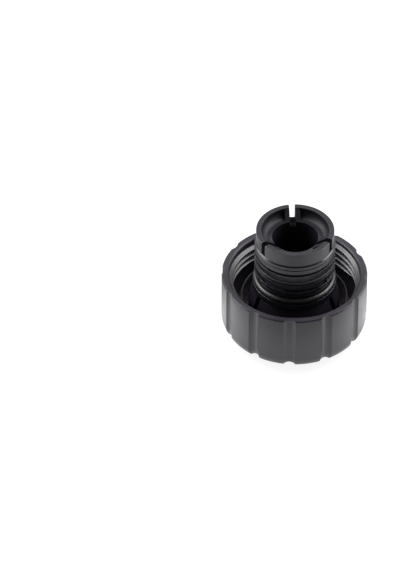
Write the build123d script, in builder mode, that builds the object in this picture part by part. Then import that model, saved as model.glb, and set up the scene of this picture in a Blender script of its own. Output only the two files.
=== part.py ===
from build123d import *
import math
import os

os.makedirs("parts", exist_ok=True)

# Frame: the cap lies upside down on its flat top, origin at the middle of that top, +Z out of the open mouth
# All sizes in millimetres

# Shell
shell_height = 26.8
skirt_wall = 3.0
top_thickness = 2.6
top_edge_radius = 6.0
rim_edge_radius = 0.5
rim_lead_in = 0.5
inner_corner_radius = 1.2
flute_count = 12
flute_depth = 1.1
flute_tool_radius = 3.5
flute_end_angle = 66.0
flute_overrun = 2.0
gate_mark_radius = 1.1
gate_mark_ring_width = 0.25
gate_mark_depth = 0.15

# Internal thread with two starts, crest towards the axis; the pitch is from flight to flight
thread_starts = 2
thread_pitch = 3.0
thread_depth = 1.6
thread_crest_width = 0.6
thread_flank_angle = 26.0
thread_turns = 1.75
thread_setback = 1.725
thread_phase = 22.0
thread_root_overlap = 0.5
fade_run_over = 0.05
fade_cut_margin = 0.16

# Socket that carries the valve plug, and the ring wall that guards it
socket_top = 20.8
swivel_fit = 0.08
axial_fit = 0.1
finger_wall = 2.62
finger_tip_wall = 0.6
finger_taper_length = 5.3
finger_count = 3
finger_slot_width = 2.4
finger_slot_depth = 11.8
finger_phase = 94.5
hook_drop = 3.8
hook_height = 1.6
hook_depth = 0.65
hook_fit = 0.1
thrust_rib_width = 1.4
thrust_gap = 0.8
guard_gap = 2.5
guard_ring_wall = 0.6
guard_ring_top = 15.2
neck_room = 3.4
join_overlap = 0.2

# Valve plug, outside: radius of its ribs, then depths and widths from the flange up to the tip
rib_radius = 16.55
root_step = 0.35
root_bottom_chamfer = 0.6
flange_clearance = 0.15
flange_step = 0.65
flange_edge_radius = 0.4
flange_height = 3.45
neck_height = 2.8
relief_depth = 1.15
ring_d_height = 1.15
groove_3_width = 1.55
rib_c_height = 2.15
rib_b_height = 2.85
groove_1_width = 1.05
rib_a_height = 2.0
line_groove_width = 0.3
line_groove_depth = 0.35
collar_height = 1.95
collar_chamfer = 0.55
crown_step = 0.55
crown_height = 5.8

# Ring seals: section of the cord, fit in the groove and how far they stand out of it
upper_ring_section = 1.7
root_ring_section = 2.3
ring_side_fit = 0.2
upper_ring_proud = 0.05
root_ring_sunk = 0.1

# Lugs on the lowest ring and vent windows below it
lug_count = 4
lug_angle = 23.0
lug_height = 1.05
lug_step = 0.1
lug_overlap = 0.4
lug_phase = -22.0
window_width = 8.0
window_sill = 1.2
window_head = 0.2
window_phase = 3.5

# Valve plug, inside
crown_wall = 2.1
groove_wall = 1.4
bore_tube_wall = 1.6
bore_tube_length = 11.0
flow_gap = 2.35
bore_lip_depth = 3.7
pocket_depth = 4.95
pocket_fillet = 2.8
web_thickness = 2.45
lid_step = 0.7
lid_recess_depth = 2.4
slot_count = 3
slot_width = 2.4
slot_depth = 5.8
slot_phase = 98.9
slot_rib_width = 1.9
slot_overrun = 1.0
rib_sink = 0.4
key_slot_depth = 7.3
key_slot_lip_depth = 6.3
key_slot_lip_slope = 0.7
key_slot_pit_depth = 9.6
key_slot_pit_floor = 1.2

# Pressure valve
seal_thickness = 1.6
seal_lap = 2.0
plate_clearance = 1.1
plate_thickness = 1.8
plate_rim_width = 0.5
plate_rim_height = 0.9
plate_boss_gap = 0.6
plate_boss_wall = 1.2
plate_boss_length = 4.5
air_hole_radius = 0.8
air_hole_margin = 0.6
air_hole_count = 4
pressure_wire = 1.6
pressure_coil_radius = 8.4
pressure_coils = 5.0

# Vacuum valve
poppet_head_radius = 6.2
poppet_head_thickness = 1.3
stem_radius = 1.2
stem_clearance = 0.15
stem_end = 1.2
vacuum_wire = 0.5
vacuum_coil_clearance = 0.25
vacuum_coils = 4.5
wire_sides = 8
clip_radius = 3.1
clip_thickness = 0.7
clip_drop = 10.0

# Spring seat
seat_setback = 0.2
seat_fit = 0.05
seat_hub_clearance = 0.4
seat_hub_wall = 1.4
seat_hub_height = 5.0

# Radii that follow, from the plug's ribs outwards to the skirt
root_radius = rib_radius - root_step
socket_bore_radius = root_radius + swivel_fit
finger_tip_radius = socket_bore_radius + finger_tip_wall
socket_radius = socket_bore_radius + finger_wall
guard_ring_inner_radius = socket_radius + guard_gap
guard_ring_radius = guard_ring_inner_radius + guard_ring_wall
thread_crest_radius = guard_ring_radius + neck_room
inner_wall_radius = thread_crest_radius + thread_depth
skirt_radius = inner_wall_radius + skirt_wall
finger_slot_inner = root_radius - hook_depth
finger_slot_outer = socket_radius + guard_gap / 2

# Radii that follow, from the plug's ribs inwards to the bore and the valves
flange_radius = rib_radius + flange_step
crown_radius = rib_radius - crown_step
crown_inner_radius = crown_radius - crown_wall
relief_radius = rib_radius - relief_depth
upper_groove_radius = rib_radius + upper_ring_proud - upper_ring_section
root_groove_radius = flange_radius - root_ring_sunk - root_ring_section
chamber_radius = root_groove_radius - groove_wall
lid_recess_radius = chamber_radius + lid_step
thrust_rib_radius = lid_recess_radius + thrust_rib_width
bore_tube_radius = chamber_radius - flow_gap
bore_radius = bore_tube_radius - bore_tube_wall
plate_radius = chamber_radius - plate_clearance
seal_inner_radius = poppet_head_radius - seal_lap
seat_hub_radius = pressure_coil_radius - pressure_wire / 2 - seat_hub_clearance
plate_boss_radius = seat_hub_radius - seat_hub_wall - plate_boss_gap
air_hole_circle = stem_radius + stem_clearance + air_hole_radius + air_hole_margin
vacuum_coil_radius = stem_radius + vacuum_wire / 2 + vacuum_coil_clearance

# Heights that follow, from the socket up to the plug's tip
hook_bottom = socket_top - hook_drop
root_bottom = top_thickness + thrust_gap
lid_top = root_bottom + lid_recess_depth
flange_bottom = socket_top + flange_clearance
root_groove_bottom = flange_bottom + flange_height
root_groove_top = root_groove_bottom + root_ring_section + ring_side_fit
ring_d_bottom = root_groove_top + neck_height
groove_3_bottom = ring_d_bottom + ring_d_height
rib_c_bottom = groove_3_bottom + groove_3_width
upper_groove_bottom = rib_c_bottom + rib_c_height
rib_b_bottom = upper_groove_bottom + upper_ring_section + ring_side_fit
groove_1_bottom = rib_b_bottom + rib_b_height
rib_a_bottom = groove_1_bottom + groove_1_width
line_groove_bottom = rib_a_bottom + rib_a_height
collar_bottom = line_groove_bottom + line_groove_width
crown_bottom = collar_bottom + collar_height
plug_tip = crown_bottom + crown_height
web_underside = plug_tip - pocket_depth - web_thickness
valve_seat_height = web_underside - bore_tube_length
plate_top = valve_seat_height - seal_thickness
plate_bottom = plate_top - plate_thickness
clip_height = valve_seat_height - clip_drop

# Fillet between the crown's inner wall and the pocket's sloping floor
pocket_floor_z = plug_tip - pocket_depth
pocket_slope = math.atan2(pocket_depth - bore_lip_depth, crown_inner_radius - bore_radius)
pocket_tangent = pocket_fillet / math.tan((math.pi / 2 - pocket_slope) / 2)
pocket_wall_point = (crown_inner_radius, pocket_floor_z + pocket_tangent)
pocket_floor_point = (
    crown_inner_radius - pocket_tangent * math.cos(pocket_slope),
    pocket_floor_z + pocket_tangent * math.sin(pocket_slope),
)


def polar(radius, degrees, z=0.0):
    """Point at a radius and an angle round the cap's axis."""
    a = math.radians(degrees)
    return (radius * math.cos(a), radius * math.sin(a), z)


# Flute tool: a round bar that follows the wall and the rounded top edge, ball-nosed at its end
tool_offset = flute_tool_radius - flute_depth
tool_path_radius = skirt_radius + tool_offset
tool_bend_radius = top_edge_radius + tool_offset
tool_end = (
    skirt_radius - top_edge_radius + tool_bend_radius * math.cos(math.radians(flute_end_angle)),
    0,
    top_edge_radius - tool_bend_radius * math.sin(math.radians(flute_end_angle)),
)
with BuildPart() as flute_tool:
    with BuildLine(Plane.XZ) as flute_path:
        Line((tool_path_radius, shell_height + flute_overrun), (tool_path_radius, top_edge_radius))
        CenterArc((skirt_radius - top_edge_radius, top_edge_radius), tool_bend_radius, 0, -flute_end_angle)
    with BuildSketch(Plane((tool_path_radius, 0, shell_height + flute_overrun), x_dir=(1, 0, 0), z_dir=(0, 0, -1))):
        Circle(flute_tool_radius)
    sweep(path=flute_path.line)
    with Locations(tool_end):
        Sphere(flute_tool_radius)

# Thread ridge, swept along a helix and run into the wall that carries it
thread_lead = thread_pitch * thread_starts
thread_height = thread_lead * thread_turns
thread_bottom = shell_height - thread_setback - thread_height
ridge_run = inner_wall_radius + thread_root_overlap - thread_crest_radius
half_crest = thread_crest_width / 2
half_base = half_crest + ridge_run * math.tan(math.radians(thread_flank_angle))
fade_half_angle = math.degrees(math.acos(thread_crest_radius / inner_wall_radius))
fade_radius = thread_crest_radius + fade_run_over
fade_length = inner_wall_radius * math.sin(math.radians(fade_half_angle)) + fade_run_over
fade_cut_height = thread_pitch - fade_cut_margin
with BuildPart() as thread_ridge:
    with BuildLine() as thread_path:
        Helix(thread_lead, thread_height, thread_crest_radius, center=(0, 0, thread_bottom))
    with BuildSketch(Plane((thread_crest_radius, 0, thread_bottom), x_dir=(1, 0, 0), z_dir=(0, 1, 0))):
        with BuildLine():
            Polyline(
                (ridge_run, -half_base),
                (0, -half_crest),
                (0, half_crest),
                (ridge_run, half_base),
                close=True,
            )
        make_face()
    sweep(path=thread_path.line, is_frenet=True)

# Outer cap: shell, thread, flutes, gate mark and the socket for the valve plug
with BuildPart() as cap_shell:
    with BuildSketch(Plane.XZ):
        with BuildLine():
            Line((0, 0), (skirt_radius - top_edge_radius, 0))
            CenterArc((skirt_radius - top_edge_radius, top_edge_radius), top_edge_radius, -90, 90)
            Polyline(
                (skirt_radius, top_edge_radius),
                (skirt_radius, shell_height - rim_edge_radius),
                (skirt_radius - rim_edge_radius, shell_height),
                (inner_wall_radius + rim_lead_in, shell_height),
                (inner_wall_radius, shell_height - rim_lead_in),
                (inner_wall_radius, top_thickness + inner_corner_radius),
                (inner_wall_radius - inner_corner_radius, top_thickness),
                (0, top_thickness),
                (0, 0),
            )
        make_face()
    revolve(axis=Axis.Z)
    for start in range(thread_starts):
        add(thread_ridge.part, rotation=(0, 0, thread_phase + start * 360 / thread_starts))
    # Every thread end runs out into the wall along a flat
    for turn, height, side in ((0, thread_bottom, 1), (thread_turns, thread_bottom + thread_height, -1)):
        for start in range(thread_starts):
            fade_angle = thread_phase + (turn + start / thread_starts) * 360 + side * fade_half_angle
            with Locations(Location(polar(fade_radius, fade_angle, height), (0, 0, fade_angle))):
                Box(
                    ridge_run * 2,
                    fade_length,
                    fade_cut_height,
                    align=(Align.MAX, Align.MAX if side > 0 else Align.MIN, Align.CENTER),
                    mode=Mode.SUBTRACT,
                )
    with PolarLocations(0, flute_count):
        add(flute_tool.part, mode=Mode.SUBTRACT)
    with BuildSketch(Plane.XY):
        Circle(gate_mark_radius)
        Circle(gate_mark_radius - gate_mark_ring_width, mode=Mode.SUBTRACT)
    extrude(amount=gate_mark_depth, mode=Mode.SUBTRACT)
    with BuildSketch(Plane.XZ):
        with BuildLine():
            Polyline(
                (socket_bore_radius, top_thickness - join_overlap),
                (socket_bore_radius, hook_bottom),
                (root_radius - hook_depth + hook_fit, hook_bottom),
                (root_radius - hook_depth + hook_fit, hook_bottom + hook_height / 2),
                (socket_bore_radius, hook_bottom + hook_height),
                (socket_bore_radius, socket_top),
                (finger_tip_radius, socket_top),
                (socket_radius, socket_top - finger_taper_length),
                (socket_radius, top_thickness - join_overlap),
                close=True,
            )
        make_face()
    revolve(axis=Axis.Z)
    with Locations((0, 0, socket_top - finger_slot_depth)):
        with PolarLocations((finger_slot_inner + finger_slot_outer) / 2, finger_count, start_angle=finger_phase):
            Box(
                finger_slot_outer - finger_slot_inner,
                finger_slot_width,
                socket_top,
                align=(Align.CENTER, Align.CENTER, Align.MIN),
                mode=Mode.SUBTRACT,
            )
    # Thrust rib under the plug's root, and the ring wall that guards the fingers
    for outer, inner, top in (
        (thrust_rib_radius, lid_recess_radius, root_bottom - axial_fit),
        (guard_ring_radius, guard_ring_inner_radius, guard_ring_top),
    ):
        with BuildSketch(Plane.XY.offset(top_thickness - join_overlap)):
            Circle(outer)
            Circle(inner, mode=Mode.SUBTRACT)
        extrude(amount=top - top_thickness + join_overlap)
cap_shell.part.label = "cap_shell"
export_step(cap_shell.part, "parts/cap_shell.step")

# Valve plug housing: slotted crown, ribs and grooves, bore tube with the valve seat, root shaft
with BuildPart() as valve_housing:
    with BuildSketch(Plane.XZ):
        with BuildLine():
            Polyline(
                (lid_recess_radius, root_bottom),
                (root_radius - root_bottom_chamfer, root_bottom),
                (root_radius, root_bottom + root_bottom_chamfer),
                (root_radius, hook_bottom - axial_fit),
                (root_radius - hook_depth, hook_bottom - axial_fit),
                (root_radius - hook_depth, hook_bottom + hook_height + axial_fit),
                (root_radius, hook_bottom + hook_height + axial_fit),
                (root_radius, flange_bottom),
                (flange_radius - flange_edge_radius, flange_bottom),
                (flange_radius, flange_bottom + flange_edge_radius),
                (flange_radius, root_groove_bottom),
                (root_groove_radius, root_groove_bottom),
                (root_groove_radius, root_groove_top),
                (relief_radius, root_groove_top),
                (relief_radius, ring_d_bottom),
                (rib_radius, ring_d_bottom),
                (rib_radius, groove_3_bottom),
                (relief_radius, groove_3_bottom),
                (relief_radius, rib_c_bottom),
                (rib_radius, rib_c_bottom),
                (rib_radius, upper_groove_bottom),
                (upper_groove_radius, upper_groove_bottom),
                (upper_groove_radius, rib_b_bottom),
                (rib_radius, rib_b_bottom),
                (rib_radius, groove_1_bottom),
                (relief_radius, groove_1_bottom),
                (relief_radius, rib_a_bottom),
                (rib_radius, rib_a_bottom),
                (rib_radius, line_groove_bottom),
                (rib_radius - line_groove_depth, line_groove_bottom),
                (rib_radius - line_groove_depth, collar_bottom),
                (rib_radius, collar_bottom),
                (rib_radius, crown_bottom - collar_chamfer),
                (crown_radius, crown_bottom),
                (crown_radius, plug_tip),
                (crown_inner_radius, plug_tip),
                pocket_wall_point,
            )
            TangentArc(pocket_wall_point, pocket_floor_point, tangent=(0, -1))
            Polyline(
                pocket_floor_point,
                (bore_radius, plug_tip - bore_lip_depth),
                (bore_radius, valve_seat_height),
                (bore_tube_radius, valve_seat_height),
                (bore_tube_radius, web_underside),
                (chamber_radius, web_underside),
                (chamber_radius, lid_top),
                (lid_recess_radius, lid_top),
                (lid_recess_radius, root_bottom),
            )
        make_face()
    revolve(axis=Axis.Z)
    # Ribs beside the slots, their tops sloping from the rim to the bore; the key slot's reach below the web
    for k in range(slot_count):
        a = math.radians(slot_phase + k * 360 / slot_count)
        rib_bottom = plug_tip - key_slot_pit_depth - key_slot_pit_floor if k == 0 else web_underside + rib_sink
        radial = Plane((0, 0, 0), x_dir=(math.cos(a), math.sin(a), 0), z_dir=(math.sin(a), -math.cos(a), 0))
        with BuildSketch(radial):
            with BuildLine():
                Polyline(
                    (bore_radius - slot_overrun, rib_bottom),
                    (bore_radius - slot_overrun, plug_tip - bore_lip_depth),
                    (bore_radius, plug_tip - bore_lip_depth),
                    (crown_inner_radius, plug_tip),
                    (crown_inner_radius + rib_sink, plug_tip),
                    (crown_inner_radius + rib_sink, rib_bottom),
                    close=True,
                )
            make_face()
        extrude(amount=slot_width / 2 + slot_rib_width, both=True)
    with Locations((0, 0, valve_seat_height)):
        Cylinder(
            bore_radius,
            plug_tip,
            align=(Align.CENTER, Align.CENTER, Align.MIN),
            mode=Mode.SUBTRACT,
        )
    # Slots through the crown
    with Locations((0, 0, plug_tip - slot_depth)):
        with PolarLocations(crown_radius, slot_count, start_angle=slot_phase):
            Box(
                (crown_radius - bore_radius + slot_overrun) * 2,
                slot_width,
                slot_depth * 2,
                align=(Align.CENTER, Align.CENTER, Align.MIN),
                mode=Mode.SUBTRACT,
            )
    # Key slot: lower at the bore's lip and through the crown, its floor sloping into a pit between
    key_slot_angle = math.radians(slot_phase)
    key_slot_plane = Plane(
        (0, 0, plug_tip),
        x_dir=(math.cos(key_slot_angle), math.sin(key_slot_angle), 0),
        z_dir=(math.sin(key_slot_angle), -math.cos(key_slot_angle), 0),
    )
    with BuildSketch(key_slot_plane):
        with BuildLine():
            Polyline(
                (bore_radius - slot_overrun, 0),
                (bore_radius - slot_overrun, -key_slot_lip_depth),
                (bore_radius, -key_slot_lip_depth),
                (bore_tube_radius, key_slot_lip_slope - key_slot_lip_depth),
                (bore_tube_radius, -key_slot_pit_depth),
                (crown_inner_radius, -key_slot_pit_depth),
                (rib_radius, -key_slot_depth),
                (rib_radius + slot_overrun, -key_slot_depth),
                (rib_radius + slot_overrun, 0),
                close=True,
            )
        make_face()
    extrude(amount=slot_width / 2, both=True, mode=Mode.SUBTRACT)
    # Lugs on the lowest ring
    for k in range(lug_count):
        a = math.radians(lug_phase - lug_angle / 2 + k * 360 / lug_count)
        radial = Plane((0, 0, 0), x_dir=(math.cos(a), math.sin(a), 0), z_dir=(math.sin(a), -math.cos(a), 0))
        with BuildSketch(radial):
            with BuildLine():
                Polyline(
                    (relief_radius - lug_overlap, groove_3_bottom - lug_overlap),
                    (rib_radius - lug_step, groove_3_bottom - lug_overlap),
                    (rib_radius - lug_step, groove_3_bottom + lug_height),
                    (relief_radius - lug_overlap, groove_3_bottom + lug_height),
                    close=True,
                )
            make_face()
        revolve(axis=Axis.Z, revolution_arc=lug_angle)
    # Vent windows between the two ring seals
    with Locations((0, 0, root_groove_top + window_sill)):
        with PolarLocations(relief_radius, lug_count, start_angle=window_phase):
            Box(
                (relief_radius - chamber_radius + slot_overrun) * 2,
                window_width,
                neck_height - window_sill - window_head,
                align=(Align.CENTER, Align.CENTER, Align.MIN),
                mode=Mode.SUBTRACT,
            )
valve_housing.part.label = "valve_housing"
export_step(valve_housing.part, "parts/valve_housing.step")

# Upper ring seal, seated on the floor of its groove
upper_ring_radius = upper_groove_radius + upper_ring_section / 2
upper_ring_height = (upper_groove_bottom + rib_b_bottom) / 2
with BuildPart() as upper_o_ring:
    with Locations((0, 0, upper_ring_height)):
        Torus(upper_ring_radius, upper_ring_section / 2)
upper_o_ring.part.label = "upper_o_ring"
export_step(upper_o_ring.part, "parts/upper_o_ring.step")

# Root ring seal
root_ring_radius = root_groove_radius + root_ring_section / 2
root_ring_height = (root_groove_bottom + root_groove_top) / 2
with BuildPart() as root_o_ring:
    with Locations((0, 0, root_ring_height)):
        Torus(root_ring_radius, root_ring_section / 2)
root_o_ring.part.label = "root_o_ring"
export_step(root_o_ring.part, "parts/root_o_ring.step")

# Spring seat that closes the root end of the plug
with BuildPart() as spring_seat:
    with BuildSketch(Plane.XY.offset(root_bottom + seat_setback)):
        Circle(lid_recess_radius - seat_fit)
    extrude(amount=lid_recess_depth - seat_setback)
    with BuildSketch(Plane.XY.offset(lid_top)):
        Circle(seat_hub_radius)
        Circle(seat_hub_radius - seat_hub_wall, mode=Mode.SUBTRACT)
    extrude(amount=seat_hub_height)
spring_seat.part.label = "spring_seat"
export_step(spring_seat.part, "parts/spring_seat.step")

# Pressure valve plate with a rim round the seal and a boss for the small spring
with BuildPart() as pressure_plate:
    with BuildSketch(Plane.XY.offset(plate_bottom)):
        Circle(plate_radius)
    extrude(amount=plate_thickness)
    with BuildSketch(Plane.XY.offset(plate_top)):
        Circle(plate_radius)
        Circle(plate_radius - plate_rim_width, mode=Mode.SUBTRACT)
    extrude(amount=plate_rim_height)
    with BuildSketch(Plane.XY.offset(plate_bottom - plate_boss_length)):
        Circle(plate_boss_radius)
        Circle(plate_boss_radius - plate_boss_wall, mode=Mode.SUBTRACT)
    extrude(amount=plate_boss_length)
    with Locations((0, 0, plate_bottom)):
        Cylinder(
            stem_radius + stem_clearance,
            plate_thickness,
            align=(Align.CENTER, Align.CENTER, Align.MIN),
            mode=Mode.SUBTRACT,
        )
        with PolarLocations(air_hole_circle, air_hole_count):
            Cylinder(
                air_hole_radius,
                plate_thickness,
                align=(Align.CENTER, Align.CENTER, Align.MIN),
                mode=Mode.SUBTRACT,
            )
pressure_plate.part.label = "pressure_plate"
export_step(pressure_plate.part, "parts/pressure_plate.step")

# Flat rubber disc on the plate
with BuildPart() as valve_seal:
    with BuildSketch(Plane.XY.offset(plate_top)):
        Circle(plate_radius - plate_rim_width)
        Circle(seal_inner_radius, mode=Mode.SUBTRACT)
    extrude(amount=seal_thickness)
valve_seal.part.label = "valve_seal"
export_step(valve_seal.part, "parts/valve_seal.step")

# Vacuum poppet: head on the rubber disc, stem down through the plate
with BuildPart() as vacuum_poppet:
    with BuildSketch(Plane.XY.offset(valve_seat_height)):
        Circle(poppet_head_radius)
    extrude(amount=poppet_head_thickness)
    with BuildSketch(Plane.XY.offset(clip_height - stem_end)):
        Circle(stem_radius)
    extrude(amount=clip_drop + stem_end)
vacuum_poppet.part.label = "vacuum_poppet"
export_step(vacuum_poppet.part, "parts/vacuum_poppet.step")

# Clip pressed on the end of the stem
with BuildPart() as poppet_clip:
    with BuildSketch(Plane.XY.offset(clip_height)):
        Circle(clip_radius)
        Circle(stem_radius, mode=Mode.SUBTRACT)
    extrude(amount=clip_thickness)
poppet_clip.part.label = "poppet_clip"
export_step(poppet_clip.part, "parts/poppet_clip.step")

# Coil springs, each running from face to face of what carries it
pressure_length = plate_bottom - lid_top - pressure_wire
with BuildPart() as pressure_spring:
    with BuildLine() as pressure_path:
        Helix(
            pressure_length / pressure_coils,
            pressure_length,
            pressure_coil_radius,
            center=(0, 0, lid_top + pressure_wire / 2),
        )
    with BuildSketch(Plane(pressure_path.line @ 0, z_dir=pressure_path.line % 0)):
        RegularPolygon(pressure_wire / 2, wire_sides)
    sweep(path=pressure_path.line, is_frenet=True)
pressure_spring.part.label = "pressure_spring"
export_step(pressure_spring.part, "parts/pressure_spring.step")

vacuum_bottom = clip_height + clip_thickness
vacuum_length = plate_bottom - vacuum_bottom - vacuum_wire
with BuildPart() as vacuum_spring:
    with BuildLine() as vacuum_path:
        Helix(
            vacuum_length / vacuum_coils,
            vacuum_length,
            vacuum_coil_radius,
            center=(0, 0, vacuum_bottom + vacuum_wire / 2),
        )
    with BuildSketch(Plane(vacuum_path.line @ 0, z_dir=vacuum_path.line % 0)):
        RegularPolygon(vacuum_wire / 2, wire_sides)
    sweep(path=vacuum_path.line, is_frenet=True)
vacuum_spring.part.label = "vacuum_spring"
export_step(vacuum_spring.part, "parts/vacuum_spring.step")
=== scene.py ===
import logging
import math
from dataclasses import dataclass, field
from enum import Enum

import bpy
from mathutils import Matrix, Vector


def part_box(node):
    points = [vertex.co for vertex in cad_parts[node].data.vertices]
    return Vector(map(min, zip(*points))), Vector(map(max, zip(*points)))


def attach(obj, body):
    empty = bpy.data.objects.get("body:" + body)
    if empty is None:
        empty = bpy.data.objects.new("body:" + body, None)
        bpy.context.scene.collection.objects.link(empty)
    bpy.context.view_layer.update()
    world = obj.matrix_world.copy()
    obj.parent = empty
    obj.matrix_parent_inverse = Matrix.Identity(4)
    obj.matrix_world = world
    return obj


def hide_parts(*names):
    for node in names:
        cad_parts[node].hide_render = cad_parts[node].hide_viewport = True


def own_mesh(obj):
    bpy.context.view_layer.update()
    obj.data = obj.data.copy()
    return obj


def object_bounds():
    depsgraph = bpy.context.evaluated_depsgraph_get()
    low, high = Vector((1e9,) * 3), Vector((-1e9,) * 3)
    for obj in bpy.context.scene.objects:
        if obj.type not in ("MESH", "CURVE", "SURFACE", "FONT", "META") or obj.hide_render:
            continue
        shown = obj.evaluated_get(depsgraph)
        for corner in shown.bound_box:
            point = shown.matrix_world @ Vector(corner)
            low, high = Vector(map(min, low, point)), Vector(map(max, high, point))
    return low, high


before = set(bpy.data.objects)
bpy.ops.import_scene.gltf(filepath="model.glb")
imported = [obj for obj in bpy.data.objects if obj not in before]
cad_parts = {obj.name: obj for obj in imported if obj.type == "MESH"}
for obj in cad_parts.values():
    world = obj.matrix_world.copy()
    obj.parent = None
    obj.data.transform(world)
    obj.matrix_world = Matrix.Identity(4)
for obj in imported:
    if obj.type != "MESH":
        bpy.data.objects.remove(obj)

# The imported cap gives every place. Sizes are in metres, small ones as millimetres times MM.
CAD_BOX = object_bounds()
MM = 0.001
WHITE = (1, 1, 1, 1)
LOG = logging.getLogger("coolant_cap")

Triple = tuple[float, float, float]
Span = tuple[float, float]
Inputs = dict[str | int, object]
Value = float | bpy.types.NodeSocket


class Slot(Enum):
    """Material slots of the cap, as its record names them."""

    SHELL = "shell_plastic"
    PLUG = "plug_plastic"
    SEAL = "seal_rubber"
    VALVE = "valve_plastic"
    SPRING = "spring_steel"


class Body(Enum):
    """Bodies of the cap that the wound springs ride on."""

    PLUG = "plug"
    PRESSURE_VALVE = "pressure_valve"


class NodeTree:
    """A node tree under construction, with short ways to add and join nodes."""

    def __init__(self, tree: bpy.types.NodeTree) -> None:
        """Takes over an existing tree and empties it."""
        self.tree = tree
        tree.nodes.clear()

    def add(
        self, kind: str, inputs: Inputs | None = None, **settings: str | int
    ) -> bpy.types.Node:
        """Adds one node.

        Args:
            kind: The node's type name.
            inputs: Values or sockets by input name or number; a socket is linked, a value is set.
            settings: Properties of the node itself, such as operation.

        Returns:
            The new node.
        """
        node = self.tree.nodes.new(kind)
        for name, value in settings.items():
            setattr(node, name, value)
        for name, value in (inputs or {}).items():
            socket = node.inputs[name]
            if isinstance(value, bpy.types.NodeSocket):
                self.tree.links.new(value, socket)
            else:
                socket.default_value = value
        return node

    def math(self, operation: str, a: Value, b: Value = 0.0) -> bpy.types.NodeSocket:
        """Gives the result of a Math node on two values or sockets."""
        return self.add("ShaderNodeMath", {0: a, 1: b}, operation=operation).outputs[0]

    def times(self, a: Value, b: Value) -> bpy.types.NodeSocket:
        """Gives the product of two values or sockets."""
        return self.math("MULTIPLY", a, b)

    def along(self, vector: bpy.types.NodeSocket, way: Vector) -> bpy.types.NodeSocket:
        """Gives how far a vector reaches along a fixed unit vector."""
        inputs = {0: vector, 1: tuple(way)}
        return self.add("ShaderNodeVectorMath", inputs, operation="DOT_PRODUCT").outputs["Value"]

    def length(self, vector: bpy.types.NodeSocket) -> bpy.types.NodeSocket:
        """Gives the length of a vector."""
        return self.add("ShaderNodeVectorMath", {0: vector}, operation="LENGTH").outputs["Value"]

    def span(
        self, value: Value, low: float, high: float, to_low: float, to_high: float
    ) -> bpy.types.NodeSocket:
        """Maps a value smoothly from one range to another and holds it at the ends.

        Args:
            value: The value or socket to map.
            low: Start of the range read.
            high: End of the range read.
            to_low: Result at the start.
            to_high: Result at the end.

        Returns:
            The result socket.
        """
        inputs = {
            "Value": value,
            "From Min": low,
            "From Max": high,
            "To Min": to_low,
            "To Max": to_high,
        }
        node = self.add("ShaderNodeMapRange", inputs, interpolation_type="SMOOTHSTEP")
        return node.outputs["Result"]

    def blend(
        self, share: Value, first: bpy.types.Node, second: bpy.types.Node
    ) -> bpy.types.Node:
        """Mixes two shaders.

        Args:
            share: Share of the second shader.
            first: The shader at share 0.
            second: The shader at share 1.

        Returns:
            The mixing node.
        """
        inputs = {0: share, 1: first.outputs[0], 2: second.outputs[0]}
        return self.add("ShaderNodeMixShader", inputs)


@dataclass(frozen=True)
class Pattern:
    """A noise pattern: cycles in a millimetre, octaves, weight of the finer ones, and scale."""

    per_mm: float
    octaves: float
    finer: float = 0.5
    scale: Triple = (1, 1, 1)


class FinishTree(NodeTree):
    """The node tree of one finish, with the object's own millimetre coordinates at hand."""

    def __init__(self, name: str) -> None:
        """Makes the material and the millimetre coordinates.

        Args:
            name: The material's name.
        """
        self.material = bpy.data.materials.new(name)
        self.material.use_nodes = True
        super().__init__(self.material.node_tree)
        inputs = {0: self.add("ShaderNodeTexCoord").outputs["Object"], "Scale": 1 / MM}
        self.place = self.add("ShaderNodeVectorMath", inputs, operation="SCALE").outputs[0]

    def scaled_place(self, scale: Triple) -> bpy.types.NodeSocket:
        """Gives the millimetre coordinates times a scale along X, Y and Z."""
        return self.add("ShaderNodeMapping", {"Vector": self.place, "Scale": scale}).outputs[0]

    def noise(self, pattern: Pattern) -> bpy.types.NodeSocket:
        """Adds a noise pattern in millimetre space.

        Args:
            pattern: The pattern's measures.

        Returns:
            The pattern, about 0 to 1.
        """
        inputs = {
            "Vector": self.scaled_place(pattern.scale),
            "Scale": pattern.per_mm,
            "Detail": pattern.octaves,
            "Roughness": pattern.finer,
        }
        return self.add("ShaderNodeTexNoise", inputs).outputs[0]

    def colours(
        self, factor: bpy.types.NodeSocket, dark: Triple, pale: Triple
    ) -> bpy.types.NodeSocket:
        """Mixes two colours.

        Args:
            factor: The socket that picks between them.
            dark: Red, green and blue at 0.
            pale: Red, green and blue at 1.

        Returns:
            The colour socket.
        """
        inputs = {"Factor": factor, "A": (*dark, 1), "B": (*pale, 1)}
        return self.add("ShaderNodeMix", inputs, data_type="RGBA").outputs["Result"]

    def bump(
        self,
        height: bpy.types.NodeSocket,
        depth: float,
        normal: bpy.types.NodeSocket | None = None,
    ) -> bpy.types.NodeSocket:
        """Adds relief.

        Args:
            height: The relief's pattern, 0 to 1.
            depth: Its full depth in metres.
            normal: The normal that it is added to, or None for the surface's own.

        Returns:
            The normal socket.
        """
        inputs = {"Height": height, "Distance": depth, "Strength": 1.0}
        if normal is not None:
            inputs["Normal"] = normal
        return self.add("ShaderNodeBump", inputs).outputs[0]

    def finish(self, inputs: Inputs) -> bpy.types.Material:
        """Adds the Principled shader and joins it to the output.

        Args:
            inputs: The shader's values and sockets.

        Returns:
            The finished material.
        """
        shader = self.add("ShaderNodeBsdfPrincipled", inputs)
        self.add("ShaderNodeOutputMaterial", {"Surface": shader.outputs[0]})
        return self.material


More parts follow.
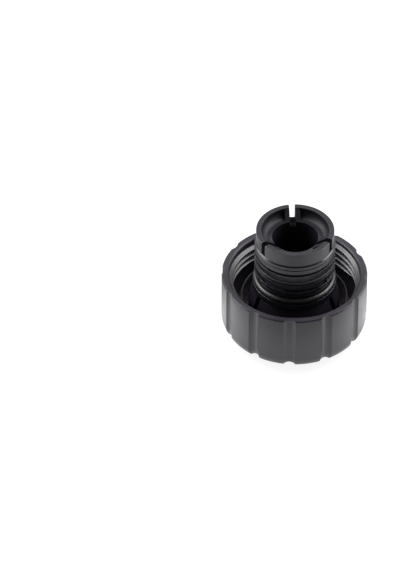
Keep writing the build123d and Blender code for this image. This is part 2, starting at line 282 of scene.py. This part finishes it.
@dataclass(frozen=True)
class DullCore:
    """A rougher, less reflective finish near the axis of a moulding."""

    radius: float
    added_roughness: float
    specular: float
    fade: float = 0.3 * MM

    def apply(
        self, t: FinishTree, gloss: bpy.types.NodeSocket, specular: float
    ) -> tuple[bpy.types.NodeSocket, bpy.types.NodeSocket]:
        """Dulls the finish inside the core's edge.

        Args:
            t: The finish's tree.
            gloss: The roughness outside the core.
            specular: The specular level outside the core.

        Returns:
            The roughness and the specular level everywhere.
        """
        from_axis = t.length(t.scaled_place((1, 1, 0)))
        start, end = (self.radius - self.fade) / MM, (self.radius + self.fade) / MM
        added = t.span(from_axis, start, end, self.added_roughness, 0)
        level = t.span(from_axis, start, end, self.specular, specular)
        return t.math("ADD", gloss, added), level


@dataclass(frozen=True)
class MouldedPlastic:
    """Black moulded plastic with a fine spark-eroded grain and softly rounded edges."""

    name: str
    dark: Triple
    pale: Triple
    roughness: Span
    grain: Pattern
    grain_depth: float
    flow_depth: float
    edge_radius: float
    specular: float = 0.52
    core: DullCore | None = None
    clouds: Pattern = Pattern(0.12, 5.0, 0.6)
    haze: Pattern = Pattern(0.9, 3.0, 0.55, (1, 1, 0.45))
    flow: Pattern = Pattern(0.22, 1.0, 0.4, (1, 1, 0.5))
    cloud_share: float = 0.6
    haze_share: float = 0.4
    colour_reads: Span = (0.35, 0.65)
    gloss_reads: Span = (0.3, 0.7)
    edge_samples: int = 6

    def normal(self, t: FinishTree) -> bpy.types.NodeSocket:
        """Builds the relief: eased edges, then flow waves, then grain.

        Args:
            t: The finish's tree.

        Returns:
            The normal socket.
        """
        grain = t.noise(self.grain)
        edges = t.add("ShaderNodeBevel", {"Radius": self.edge_radius}, samples=self.edge_samples)
        waves = t.bump(t.noise(self.flow), self.flow_depth, edges.outputs[0])
        return t.bump(grain, self.grain_depth, waves)

    def material(self) -> bpy.types.Material:
        """Builds the finish: clouded colour and gloss, relief, and a duller core if it has one.

        Returns:
            The material.
        """
        t = FinishTree(self.name)
        clouds = t.times(t.noise(self.clouds), self.cloud_share)
        haze = t.times(t.noise(self.haze), self.haze_share)
        tone = t.math("ADD", clouds, haze)
        tint = t.span(tone, *self.colour_reads, 0, 1)
        gloss = t.span(tone, *self.gloss_reads, *self.roughness)
        specular = self.specular
        if self.core:
            gloss, specular = self.core.apply(t, gloss, specular)
        return t.finish(
            {
                "Base Color": t.colours(tint, self.dark, self.pale),
                "Roughness": gloss,
                "Specular IOR Level": specular,
                "Normal": self.normal(t),
            }
        )


@dataclass(frozen=True)
class SealRubber:
    """Smooth black moulded rubber with a thin film of assembly grease."""

    name: str
    dark: Triple
    pale: Triple
    roughness: Span
    film: float
    film_roughness: float = 0.2
    bloom: Pattern = Pattern(0.5, 4.0, 0.6)
    peel: Pattern = Pattern(4.0, 2.0)
    peel_depth: float = 0.004 * MM
    colour_reads: Span = (0.4, 0.7)
    gloss_reads: Span = (0.35, 0.65)

    def material(self) -> bpy.types.Material:
        """Builds the finish: bloom in colour and gloss, an even film, orange-peel relief.

        Returns:
            The material.
        """
        t = FinishTree(self.name)
        bloom = t.noise(self.bloom)
        tint = t.span(bloom, *self.colour_reads, 0, 1)
        return t.finish(
            {
                "Base Color": t.colours(tint, self.dark, self.pale),
                "Roughness": t.span(bloom, *self.gloss_reads, *self.roughness),
                "Coat Weight": self.film,
                "Coat Roughness": self.film_roughness,
                "Normal": t.bump(t.noise(self.peel), self.peel_depth),
            }
        )


@dataclass(frozen=True)
class SpringSteel:
    """Drawn and tempered spring wire with fine die lines and a straw tint."""

    name: str
    dark: Triple
    pale: Triple
    roughness: Span = (0.22, 0.42)
    tint: Pattern = Pattern(0.35, 4.0, 0.6)
    lines: Pattern = Pattern(6.0, 2.0, 0.5, (1, 1, 4))
    line_depth: float = 0.003 * MM
    colour_reads: Span = (0.35, 0.65)
    gloss_reads: Span = (0.3, 0.7)

    def material(self) -> bpy.types.Material:
        """Builds the finish: heat tint in the colour, die lines in gloss and relief.

        Returns:
            The material.
        """
        t = FinishTree(self.name)
        tint = t.span(t.noise(self.tint), *self.colour_reads, 0, 1)
        lines = t.noise(self.lines)
        return t.finish(
            {
                "Base Color": t.colours(tint, self.dark, self.pale),
                "Metallic": 1.0,
                "Roughness": t.span(lines, *self.gloss_reads, *self.roughness),
                "Normal": t.bump(lines, self.line_depth),
            }
        )


FINISHES = {
    Slot.SHELL: MouldedPlastic(
        name="shell_satin_plastic",
        dark=(0.0155, 0.0122, 0.0205),
        pale=(0.0192, 0.0157, 0.0248),
        roughness=(0.30, 0.38),
        grain=Pattern(4.5, 2.0, 0.6),
        grain_depth=0.008 * MM,
        flow_depth=0.02 * MM,
        edge_radius=0.18 * MM,
    ),
    Slot.PLUG: MouldedPlastic(
        name="plug_filled_plastic",
        dark=(0.0108, 0.0094, 0.0142),
        pale=(0.0140, 0.0125, 0.0180),
        roughness=(0.17, 0.23),
        grain=Pattern(3.0, 2.0, 0.6),
        grain_depth=0.004 * MM,
        flow_depth=0.02 * MM,
        edge_radius=0.22 * MM,
        specular=0.74,
        core=DullCore(radius=14.0 * MM, added_roughness=0.26, specular=0.24),
    ),
    Slot.VALVE: MouldedPlastic(
        name="valve_smooth_plastic",
        dark=(0.0120, 0.0118, 0.0135),
        pale=(0.0160, 0.0155, 0.0175),
        roughness=(0.30, 0.42),
        grain=Pattern(3.0, 2.0, 0.6),
        grain_depth=0.005 * MM,
        flow_depth=0.01 * MM,
        edge_radius=0.10 * MM,
    ),
    Slot.SEAL: SealRubber(
        name="seal_greased_rubber",
        dark=(0.0085, 0.0085, 0.0090),
        pale=(0.0120, 0.0118, 0.0125),
        roughness=(0.38, 0.52),
        film=0.35,
    ),
    Slot.SPRING: SpringSteel(
        name="spring_drawn_wire",
        dark=(0.42, 0.38, 0.33),
        pale=(0.58, 0.55, 0.50),
    ),
}


@dataclass
class Finishes:
    """Every finish of the cap, made once."""

    made: dict[Slot, bpy.types.Material] = field(default_factory=dict)

    def build(self) -> None:
        """Makes the materials."""
        self.made = {slot: finish.material() for slot, finish in FINISHES.items()}

    def dress(self, piece: bpy.types.Object, slot: Slot) -> None:
        """Gives a piece its finish in every material slot.

        Args:
            piece: The mesh object.
            slot: The record's material slot.
        """
        piece.data.materials.clear()
        piece.data.materials.append(self.made[slot])

    def dress_nodes(self, names: tuple[str, ...], slot: Slot) -> None:
        """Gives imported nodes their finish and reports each.

        Args:
            names: The nodes' names.
            slot: The record's material slot.
        """
        for name in names:
            self.dress(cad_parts[name], slot)
            LOG.info("%s dressed", name)


@dataclass
class CapShell:
    """The outer cap with its flutes, neck thread and socket."""

    moulded_nodes: tuple[str, ...] = ("cap_shell",)

    def dress(self, finishes: Finishes) -> None:
        """Gives the shell its satin plastic."""
        finishes.dress_nodes(self.moulded_nodes, Slot.SHELL)


@dataclass
class ValvePlug:
    """The plug that turns in the shell's socket, with its seals and its lid."""

    moulded_nodes: tuple[str, ...] = ("valve_housing", "spring_seat")
    rubber_nodes: tuple[str, ...] = ("upper_o_ring", "root_o_ring")

    def dress(self, finishes: Finishes) -> None:
        """Gives the housing and the lid their plastic, and the ring seals their rubber."""
        finishes.dress_nodes(self.moulded_nodes, Slot.PLUG)
        finishes.dress_nodes(self.rubber_nodes, Slot.SEAL)


@dataclass
class Valves:
    """The pressure valve and the vacuum valve inside the plug."""

    moulded_nodes: tuple[str, ...] = ("pressure_plate", "vacuum_poppet", "poppet_clip")
    rubber_nodes: tuple[str, ...] = ("valve_seal",)

    def dress(self, finishes: Finishes) -> None:
        """Gives the moving valve parts their plastic and the flat disc its rubber."""
        finishes.dress_nodes(self.moulded_nodes, Slot.VALVE)
        finishes.dress_nodes(self.rubber_nodes, Slot.SEAL)


@dataclass
class CoilSpring:
    """A compression spring with closed ends, wound by a node tree along a helix."""

    name: str
    node: str
    body: Body
    joint: str
    wire_radius: float
    turns: float
    travel: float
    fixed_at_top: bool
    points_a_turn: int = 48
    sides: int = 14
    closing: float = 0.3

    def helix(
        self, t: NodeTree, given: bpy.types.bpy_prop_collection
    ) -> bpy.types.NodeSocket:
        """Lays the wire's middle line: even turns whose climb eases off at both ends.

        Args:
            t: The winding tree.
            given: The tree's input sockets.

        Returns:
            The curve socket.
        """
        ends = {"Start": (0, 0, 0), "End": (0, 0, 1)}
        line = t.add("GeometryNodeCurvePrimitiveLine", ends).outputs[0]
        count = int(self.turns * self.points_a_turn) + 1
        inputs = {"Curve": line, "Count": count}
        points = t.add("GeometryNodeResampleCurve", inputs, mode="COUNT").outputs[0]
        along = t.add("GeometryNodeSplineParameter").outputs["Factor"]
        angle = t.times(t.times(along, given["Turns"]), math.tau)
        east = t.times(t.math("COSINE", angle), given["Coil Radius"])
        north = t.times(t.math("SINE", angle), given["Coil Radius"])
        even = t.times(along, 1 - self.closing)
        eased = t.times(t.span(along, 0, 1, 0, 1), self.closing)
        climb = t.math("ADD", even, eased)
        low = t.math("ADD", given["Bottom"], given["Wire Radius"])
        high = t.math("SUBTRACT", given["Top"], given["Wire Radius"])
        up = t.math("ADD", low, t.times(climb, t.math("SUBTRACT", high, low)))
        place = t.add("ShaderNodeCombineXYZ", {"X": east, "Y": north, "Z": up}).outputs[0]
        inputs = {"Geometry": points, "Position": place}
        return t.add("GeometryNodeSetPosition", inputs).outputs[0]

    def tree(self, material: bpy.types.Material) -> bpy.types.GeometryNodeTree:
        """Builds the winding tree.

        Args:
            material: The wire's material.

        Returns:
            The tree, with inputs Coil Radius, Wire Radius, Turns, Bottom and Top.
        """
        group = bpy.data.node_groups.new(f"{self.name}_winding", "GeometryNodeTree")
        face = group.interface
        face.new_socket("Geometry", in_out="INPUT", socket_type="NodeSocketGeometry")
        face.new_socket("Geometry", in_out="OUTPUT", socket_type="NodeSocketGeometry")
        for label in ("Coil Radius", "Wire Radius", "Turns", "Bottom", "Top"):
            face.new_socket(label, in_out="INPUT", socket_type="NodeSocketFloat")
        t = NodeTree(group)
        given = t.add("NodeGroupInput").outputs
        inputs = {"Resolution": self.sides, "Radius": given["Wire Radius"]}
        ring = t.add("GeometryNodeCurvePrimitiveCircle", inputs).outputs[0]
        inputs = {"Curve": self.helix(t, given), "Profile Curve": ring, "Fill Caps": True}
        wire = t.add("GeometryNodeCurveToMesh", inputs).outputs[0]
        smooth = t.add("GeometryNodeSetShadeSmooth", {"Geometry": wire}).outputs[0]
        real = t.add("GeometryNodeRealizeInstances", {"Geometry": smooth}).outputs[0]
        inputs = {"Geometry": real, "Material": material}
        dressed = t.add("GeometryNodeSetMaterial", inputs).outputs[0]
        t.add("NodeGroupOutput", {"Geometry": dressed})
        return group

    def wind(self, material: bpy.types.Material, low: Vector, high: Vector) -> bpy.types.Mesh:
        """Winds the spring between two corners of a box.

        Args:
            material: The wire's material.
            low: The box's lowest corner.
            high: The box's highest corner.

        Returns:
            The finished mesh.
        """
        sizes = {
            "Coil Radius": (high.x - low.x) / 2 - self.wire_radius,
            "Wire Radius": self.wire_radius,
            "Turns": self.turns,
            "Bottom": low.z,
            "Top": high.z,
        }
        tree = self.tree(material)
        winder = f"{self.name}_winder"
        holder = bpy.data.objects.new(winder, bpy.data.meshes.new(winder))
        bpy.context.scene.collection.objects.link(holder)
        modifier = holder.modifiers.new("winding", "NODES")
        modifier.node_group = tree
        items = tree.interface.items_tree
        sockets = {item.name: item.identifier for item in items if item.in_out == "INPUT"}
        for label, value in sizes.items():
            modifier[sockets[label]] = value
        graph = bpy.context.evaluated_depsgraph_get()
        mesh = bpy.data.meshes.new_from_object(holder.evaluated_get(graph))
        bpy.data.objects.remove(holder)
        mesh.name = self.name
        return mesh

    def build(self, finishes: Finishes) -> None:
        """Puts the spring between the faces that hold it and hangs it on its body.

        Args:
            finishes: The cap's finishes.
        """
        low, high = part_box(self.node)
        mesh = self.wind(finishes.made[Slot.SPRING], low, high)
        spring = bpy.data.objects.new(self.name, mesh)
        bpy.context.scene.collection.objects.link(spring)
        finishes.dress(spring, Slot.SPRING)
        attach(spring, self.body.value)
        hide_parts(self.node)
        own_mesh(spring)
        LOG.info("%s wound, %d faces", self.name, len(mesh.polygons))


SPRINGS = (
    CoilSpring(
        name="pressure_coil",
        node="pressure_spring",
        body=Body.PLUG,
        joint="pressure_slide",
        wire_radius=0.8 * MM,
        turns=5.0,
        travel=2.0 * MM,
        fixed_at_top=False,
    ),
    CoilSpring(
        name="vacuum_coil",
        node="vacuum_spring",
        body=Body.PRESSURE_VALVE,
        joint="vacuum_slide",
        wire_radius=0.25 * MM,
        turns=4.5,
        travel=1.2 * MM,
        fixed_at_top=True,
        points_a_turn=36,
        sides=10,
    ),
)


@dataclass
class PhotoCamera:
    """The camera at the photograph's viewing angle: a long lens, the cap right of the middle."""

    azimuth_deg: float = 4.5
    elevation_deg: float = 42.0
    distance: float = 2.0
    clip_factor: float = 10.0
    sensor_mm: float = 36.0
    picture_height_px: float = 570.0
    picture_width_px: float = 400.0
    px_per_mm: float = 2.426
    axis_column_px: float = 294.3
    tip_row_px: float = 230.55

    def toward_camera(self) -> Vector:
        """Gives the unit vector from the cap towards the camera.

        Returns:
            The vector.
        """
        a = math.radians(self.azimuth_deg)
        e = math.radians(self.elevation_deg)
        return Vector((math.sin(a) * math.cos(e), -math.cos(a) * math.cos(e), math.sin(e)))

    def rightward(self) -> Vector:
        """Gives the unit vector to the picture's right."""
        a = math.radians(self.azimuth_deg)
        return Vector((math.cos(a), math.sin(a), 0))

    def aim(self) -> Vector:
        """Finds the point in the middle of the picture, from where the plug's tip circle shows.

        Returns:
            The point.
        """
        px_per_metre = self.px_per_mm / MM
        rows_down = self.picture_height_px / 2 - self.tip_row_px
        drop = rows_down / px_per_metre / math.cos(math.radians(self.elevation_deg))
        side = (self.picture_width_px / 2 - self.axis_column_px) / px_per_metre
        return Vector((0, 0, CAD_BOX[1].z - drop)) + self.rightward() * side

    def build(self) -> None:
        """Makes the camera and gives it to the scene."""
        lens = bpy.data.cameras.new("photo_camera")
        view_height = self.picture_height_px / self.px_per_mm * MM
        lens.sensor_width = self.sensor_mm
        lens.lens = self.sensor_mm * self.distance / view_height
        lens.clip_start = self.distance / self.clip_factor
        lens.clip_end = self.distance * self.clip_factor
        camera = bpy.data.objects.new("photo_camera", lens)
        bpy.context.scene.collection.objects.link(camera)
        camera.location = self.aim() + self.toward_camera() * self.distance
        camera.rotation_mode = "QUATERNION"
        camera.rotation_quaternion = (-self.toward_camera()).to_track_quat("-Z", "Y")
        bpy.context.scene.camera = camera
        LOG.info("camera with a %.0f mm lens", lens.lens)


@dataclass(frozen=True)
class FloorGlow:
    """How brightly the floor shows in the cap's gloss, by where on the floor it is.

    It is painted light: it brightens above white to both sides and dims behind the cap and far
    from it. Near the cap's foot it is darkened as painted shade.
    """

    front: float = 1.31
    side: float = 2.36
    side_start: float = 12 * MM
    side_full: float = 60 * MM
    back_share: float = 0.25
    back_full: float = 24 * MM
    far_share: float = 0.27
    far_start: float = 45 * MM
    far_full: float = 60 * MM
    # Painted shade: the glow is darkened near the cap's foot.
    foot_painted_shade_share: float = 0.40
    foot_painted_shade_start: float = 24 * MM
    foot_painted_shade_full: float = 35 * MM

    def strength(self, t: NodeTree, right: Vector) -> bpy.types.NodeSocket:
        """Builds the glow's strength.

        Args:
            t: The floor's tree.
            right: The unit vector to the picture's right.

        Returns:
            The strength's socket.
        """
        place = t.add("ShaderNodeTexCoord").outputs["Object"]
        aside = t.math("ABSOLUTE", t.along(place, right))
        ahead = t.along(place, Vector((0, 0, -1)).cross(right))
        reach = t.length(place)
        # Painted light: the glow rises to both sides. Painted shade: it is darkened at the cap's
        # foot.
        painted_side_light = t.span(aside, self.side_start, self.side_full, self.front, self.side)
        behind = t.span(ahead, -self.back_full, 0, self.back_share, 1)
        far = t.span(reach, self.far_start, self.far_full, 1, self.far_share)
        painted_foot_shade = t.span(reach, self.foot_painted_shade_start, self.foot_painted_shade_full, self.foot_painted_shade_share, 1)
        return t.times(t.times(painted_side_light, painted_foot_shade), t.times(behind, far))


@dataclass(frozen=True)
class SoftBoxPair:
    """Two square lamps, one on each side of the cap, both turned to it."""

    name: str
    aside: float
    back: float
    up: float
    size: float
    watts: float

    def hang(self, word: str, side: int, right: Vector) -> None:
        """Hangs one of the two.

        Args:
            word: The side's name.
            side: -1 for the left, 1 for the right.
            right: The unit vector to the picture's right.
        """
        back = Vector((0, 0, 1)).cross(right)
        place = right * side * self.aside + back * self.back + Vector((0, 0, self.up))
        name = f"{word}_{self.name}"
        data = bpy.data.lights.new(name, "AREA")
        data.shape = "SQUARE"
        data.size = self.size
        data.energy = self.watts
        lamp = bpy.data.objects.new(name, data)
        bpy.context.scene.collection.objects.link(lamp)
        lamp.location = place
        lamp.rotation_mode = "QUATERNION"
        lamp.rotation_quaternion = (-place).to_track_quat("-Z", "Y")


@dataclass
class Studio:
    """A white tent: bright walls, a dim roof, a dark opening round the camera, a pale floor."""

    camera: PhotoCamera
    wall_level: float = 1.0
    roof_level: float = 0.30
    wall_top: float = 0.35
    roof_start: float = 0.95
    opening_level: float = 0.10
    opening_inner: float = 0.85
    opening_outer: float = 0.15
    floor_size: float = 3.0
    floor_drop: float = 0.02 * MM
    floor_colour: float = 0.80
    shown_floor_colour: float = 0.20
    shown_floor_glow: float = 0.89
    glow: FloorGlow = FloorGlow()
    pairs: tuple[SoftBoxPair, ...] = (
        SoftBoxPair("side_box", aside=0.70, back=0.15, up=0.45, size=0.5, watts=2.8),
        SoftBoxPair("back_box", aside=0.39, back=0.32, up=0.67, size=0.4, watts=4.6),
    )

    def world(self) -> None:
        """Fills the world with the tent's light, white where the camera looks past the cap."""
        world = bpy.data.worlds.new("tent")
        bpy.context.scene.world = world
        world.use_nodes = True
        t = NodeTree(world.node_tree)
        way = t.add("ShaderNodeTexCoord").outputs["Generated"]
        facing = t.along(way, self.camera.toward_camera())
        height = t.add("ShaderNodeSeparateXYZ", {"Vector": way}).outputs["Z"]
        cloth = t.span(height, self.wall_top, self.roof_start, self.wall_level, self.roof_level)
        opening = t.span(facing, self.opening_outer, self.opening_inner, 1.0, self.opening_level)
        level = t.times(cloth, opening)
        tent = t.add("ShaderNodeBackground", {"Color": WHITE, "Strength": level})
        white = t.add("ShaderNodeBackground", {"Color": WHITE, "Strength": 1.0})
        path = t.add("ShaderNodeLightPath").outputs
        seen = t.math("MAXIMUM", path["Is Camera Ray"], path["Is Transmission Ray"])
        t.add("ShaderNodeOutputWorld", {"Surface": t.blend(seen, tent, white).outputs[0]})

    def floor_material(self) -> bpy.types.Material:
        """Builds the floor: pale under the light, white to the eye, glowing with painted light and
        painted shade in the cap's gloss, and clear from below.

        Returns:
            The material.
        """
        material = bpy.data.materials.new("studio_floor")
        material.use_nodes = True
        t = NodeTree(material.node_tree)
        lit = t.add("ShaderNodeBsdfDiffuse", {"Color": (*(self.floor_colour,) * 3, 1)})
        shown = t.add("ShaderNodeBsdfDiffuse", {"Color": (*(self.shown_floor_colour,) * 3, 1)})
        path = t.add("ShaderNodeLightPath").outputs
        # In glossy rays the floor glows with painted light, brighter to the sides, with painted
        # shade at the cap's foot.
        mirrored = self.glow.strength(t, self.camera.rightward())
        extra = t.times(path["Is Glossy Ray"], t.math("SUBTRACT", mirrored, self.shown_floor_glow))
        strength = t.math("ADD", extra, self.shown_floor_glow)
        glow = t.add("ShaderNodeEmission", {"Strength": strength})
        bright = t.add("ShaderNodeAddShader", {0: shown.outputs[0], 1: glow.outputs[0]})
        seen = t.math("MAXIMUM", path["Is Camera Ray"], path["Is Transmission Ray"])
        seen = t.math("MAXIMUM", seen, path["Is Glossy Ray"])
        backfacing = t.add("ShaderNodeNewGeometry").outputs["Backfacing"]
        below = t.times(path["Is Camera Ray"], backfacing)
        clear = t.add("ShaderNodeBsdfTransparent")
        surface = t.blend(below, t.blend(seen, lit, bright), clear)
        t.add("ShaderNodeOutputMaterial", {"Surface": surface.outputs[0]})
        return material

    def floor(self) -> None:
        """Lays the floor, a hair below the cap's flat top."""
        half = self.floor_size / 2
        low = -self.floor_drop
        corners = [(-half, -half, low), (half, -half, low), (half, half, low), (-half, half, low)]
        mesh = bpy.data.meshes.new("studio_floor")
        mesh.from_pydata(corners, [], [(0, 1, 2, 3)])
        floor = bpy.data.objects.new("studio_floor", mesh)
        bpy.context.scene.collection.objects.link(floor)
        mesh.materials.append(self.floor_material())

    def build(self) -> None:
        """Sets up the tent, the floor and the lamps."""
        self.world()
        self.floor()
        for side, word in ((-1, "left"), (1, "right")):
            for pair in self.pairs:
                pair.hang(word, side, self.camera.rightward())
        LOG.info("studio ready")


def main() -> None:
    """Dresses the cap, winds its springs and sets up the studio."""
    logging.basicConfig(level=logging.INFO, format="%(name)s: %(message)s")
    bpy.context.scene.view_settings.view_transform = "Standard"
    finishes = Finishes()
    finishes.build()
    for part in (CapShell(), ValvePlug(), Valves()):
        part.dress(finishes)
    for spring in SPRINGS:
        spring.build(finishes)
    camera = PhotoCamera()
    camera.build()
    Studio(camera).build()


if __name__ == "__main__":
    main()
